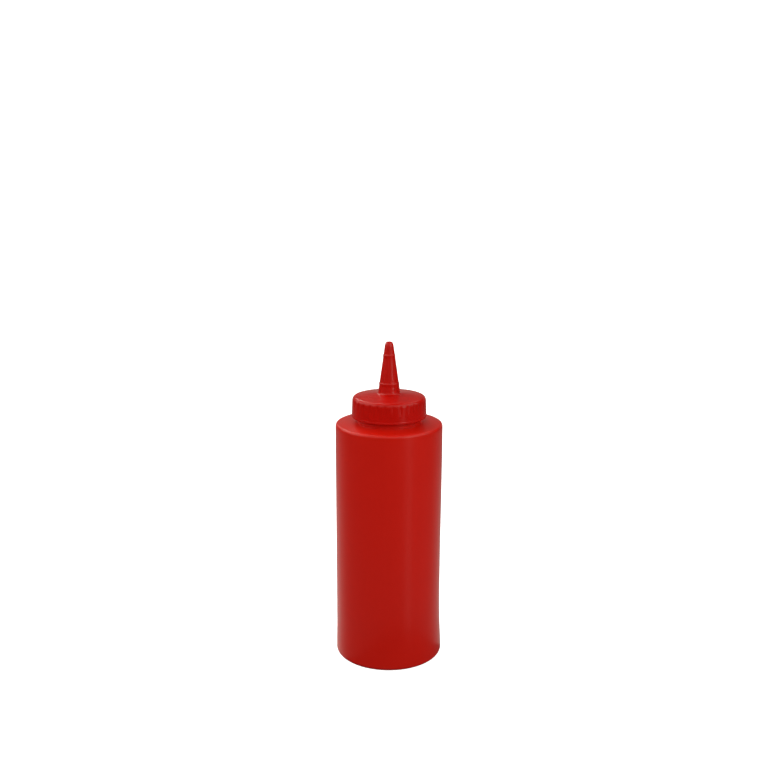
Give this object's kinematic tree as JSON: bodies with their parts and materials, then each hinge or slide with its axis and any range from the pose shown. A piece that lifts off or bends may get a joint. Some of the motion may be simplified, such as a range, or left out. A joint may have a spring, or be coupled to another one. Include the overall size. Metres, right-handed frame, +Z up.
{
  "type": "squeeze sauce bottle",
  "caption": "Round red plastic squeeze bottle for ketchup, with a ribbed cap whose long cone nozzle pours the sauce when the soft wall is pressed.",
  "frame": {"origin": "centre of the flat ring that the bottle stands on", "axes": "+Z up along the bottle's axis to the nozzle, -Y to the front that the picture shows, +X to the right"},
  "size_m": [0.0606, 0.0606, 0.1822],
  "materials": {
    "bottle_plastic": "satin",
    "cap_plastic": "semi-gloss"
  },
  "bodies": {
    "root": {"bottle": "bottle_plastic", "cap": "cap_plastic"}
  },
  "joints": []
}
